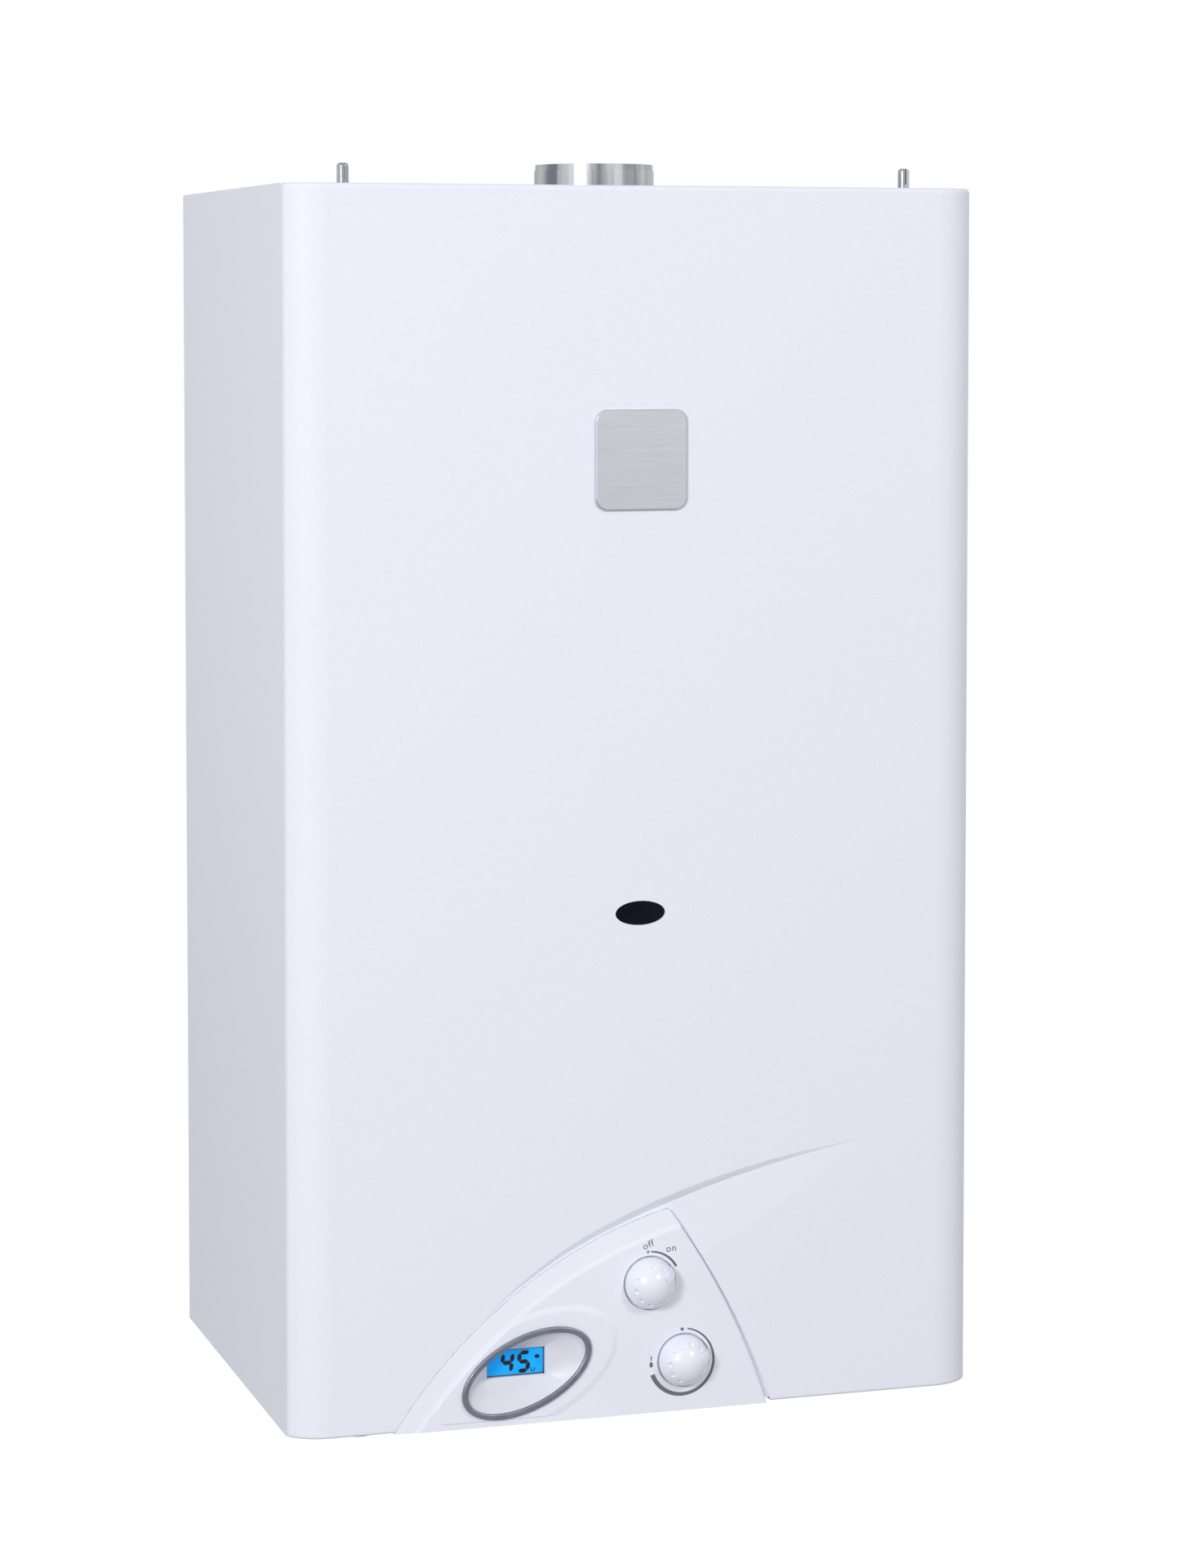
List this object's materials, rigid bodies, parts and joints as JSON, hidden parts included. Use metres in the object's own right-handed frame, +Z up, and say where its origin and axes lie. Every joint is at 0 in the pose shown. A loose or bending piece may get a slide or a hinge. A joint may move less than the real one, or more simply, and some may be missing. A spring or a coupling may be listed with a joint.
{
  "type": "gas water heater",
  "caption": "Wall-hung gas water heater: white enamelled casing with a flue collar on top, a raised arched control panel with an oval display and knobs, and pipe connections below.",
  "frame": {"origin": "middle of the wall-fixing holes, on the wall plane", "axes": "+X to the right seen from the front, +Y into the wall, +Z up"},
  "size_m": [0.35, 0.2566, 0.637],
  "materials": {
    "white_enamel": "smooth glossy white enamel",
    "galvanised": "dull zinc coating",
    "bright_steel": "bright steel",
    "screw_steel": "plated",
    "badge_metal": "satin, blank",
    "panel_plastic": "white moulded plastic",
    "dish_plastic": "pale grey, matt",
    "ring_chrome": "bright trim ring",
    "lcd_blue": "backlit blue display",
    "knob_plastic": "white moulded plastic",
    "smoked_glass": "dark heat-proof glass",
    "black_plastic": "black moulded plastic",
    "grey_plastic": "dark grey moulded plastic",
    "copper": "copper",
    "brass": "machined brass",
    "cast_alloy": "die-cast alloy",
    "soft_rubber": "black rubber",
    "gasket_rubber": "red silicone",
    "ceramic": "white glazed ceramic",
    "spring_steel": "spring steel"
  },
  "bodies": {
    "heater": {"back_plate": "galvanised", "left_side_panel": "white_enamel", "right_side_panel": "white_enamel", "top_panel": "white_enamel", "bottom_panel": "white_enamel", "front_cover": "white_enamel", "cover_pins": "bright_steel", "cover_screws": "screw_steel", "sight_window": "smoked_glass", "sight_frame": "black_plastic", "badge_plate": "badge_metal", "control_panel": "panel_plastic", "display_ring": "ring_chrome", "display_dish": "dish_plastic", "display_lcd": "lcd_blue", "flue_collar": "bright_steel", "flue_gasket": "gasket_rubber", "fan_scroll": "galvanised", "fan_motor": "galvanised", "exhaust_hood": "galvanised", "combustion_chamber": "copper", "exchanger_fins": "copper", "fin_tubes": "copper", "coil_pipe": "copper", "hot_pipe": "copper", "cold_pipe": "copper", "gas_pipe": "copper", "chamber_brackets": "galvanised", "burner_frame": "galvanised", "burner_bars": "bright_steel", "burner_manifold": "cast_alloy", "injectors": "brass", "gas_feed_pipe": "copper", "electrode_insulators": "ceramic", "electrode_rods": "bright_steel", "water_valve_body": "brass", "diaphragm": "soft_rubber", "water_valve_cover": "brass", "gas_valve_body": "cast_alloy", "gas_valve_cap": "cast_alloy", "valve_spring": "spring_steel", "solenoid": "black_plastic", "flow_switch": "black_plastic", "pipe_connectors": "brass", "connector_nuts": "brass", "control_box": "grey_plastic", "control_lid": "grey_plastic", "assembly_screws": "screw_steel", "pressure_switch": "grey_plastic", "pressure_tube": "soft_rubber"},
    "power_knob": {"power_knob": "knob_plastic", "power_spindle": "brass"},
    "temperature_knob": {"temperature_knob": "knob_plastic", "temperature_spindle": "brass"},
    "fan": {"fan_impeller": "galvanised", "fan_shaft": "bright_steel"},
    "push_rod": {"push_rod": "bright_steel", "gas_disc": "soft_rubber"},
    "switch_button": {"flow_switch_button": "grey_plastic"},
    "solenoid_plunger": {"solenoid_plunger": "bright_steel"}
  },
  "joints": [
    {"name": "power_knob_turn", "type": "hinge", "parent": "heater", "child": "power_knob", "pos_m": [0.0044, -0.247, -0.2356], "axis": [0, 1, 0], "range_deg": [-67, 6]},
    {"name": "temperature_knob_turn", "type": "hinge", "parent": "heater", "child": "temperature_knob", "pos_m": [0.0218, -0.247, -0.2752], "axis": [0, 1, 0], "range_deg": [-75, 175]},
    {"name": "fan_spin", "type": "hinge", "parent": "heater", "child": "fan", "pos_m": [-0.031, -0.167, 0.2245], "axis": [0, -1, 0], "continuous": true},
    {"name": "push_rod_lift", "type": "slide", "parent": "heater", "child": "push_rod", "axis": [0, 0, 1], "range_m": [0, 0.004], "stiffness_N_per_m": 300, "deforming": ["valve_spring"]},
    {"name": "switch_button_press", "type": "slide", "parent": "heater", "child": "switch_button", "axis": [-1, 0, 0], "range_m": [0, 0.0015]},
    {"name": "solenoid_plunger_pull", "type": "slide", "parent": "heater", "child": "solenoid_plunger", "axis": [1, 0, 0], "range_m": [0, 0.003], "stiffness_N_per_m": 200}
  ],
  "couplings": [
    {"joint": "switch_button_press", "follows": "push_rod_lift", "ratio": 0.375}
  ]
}
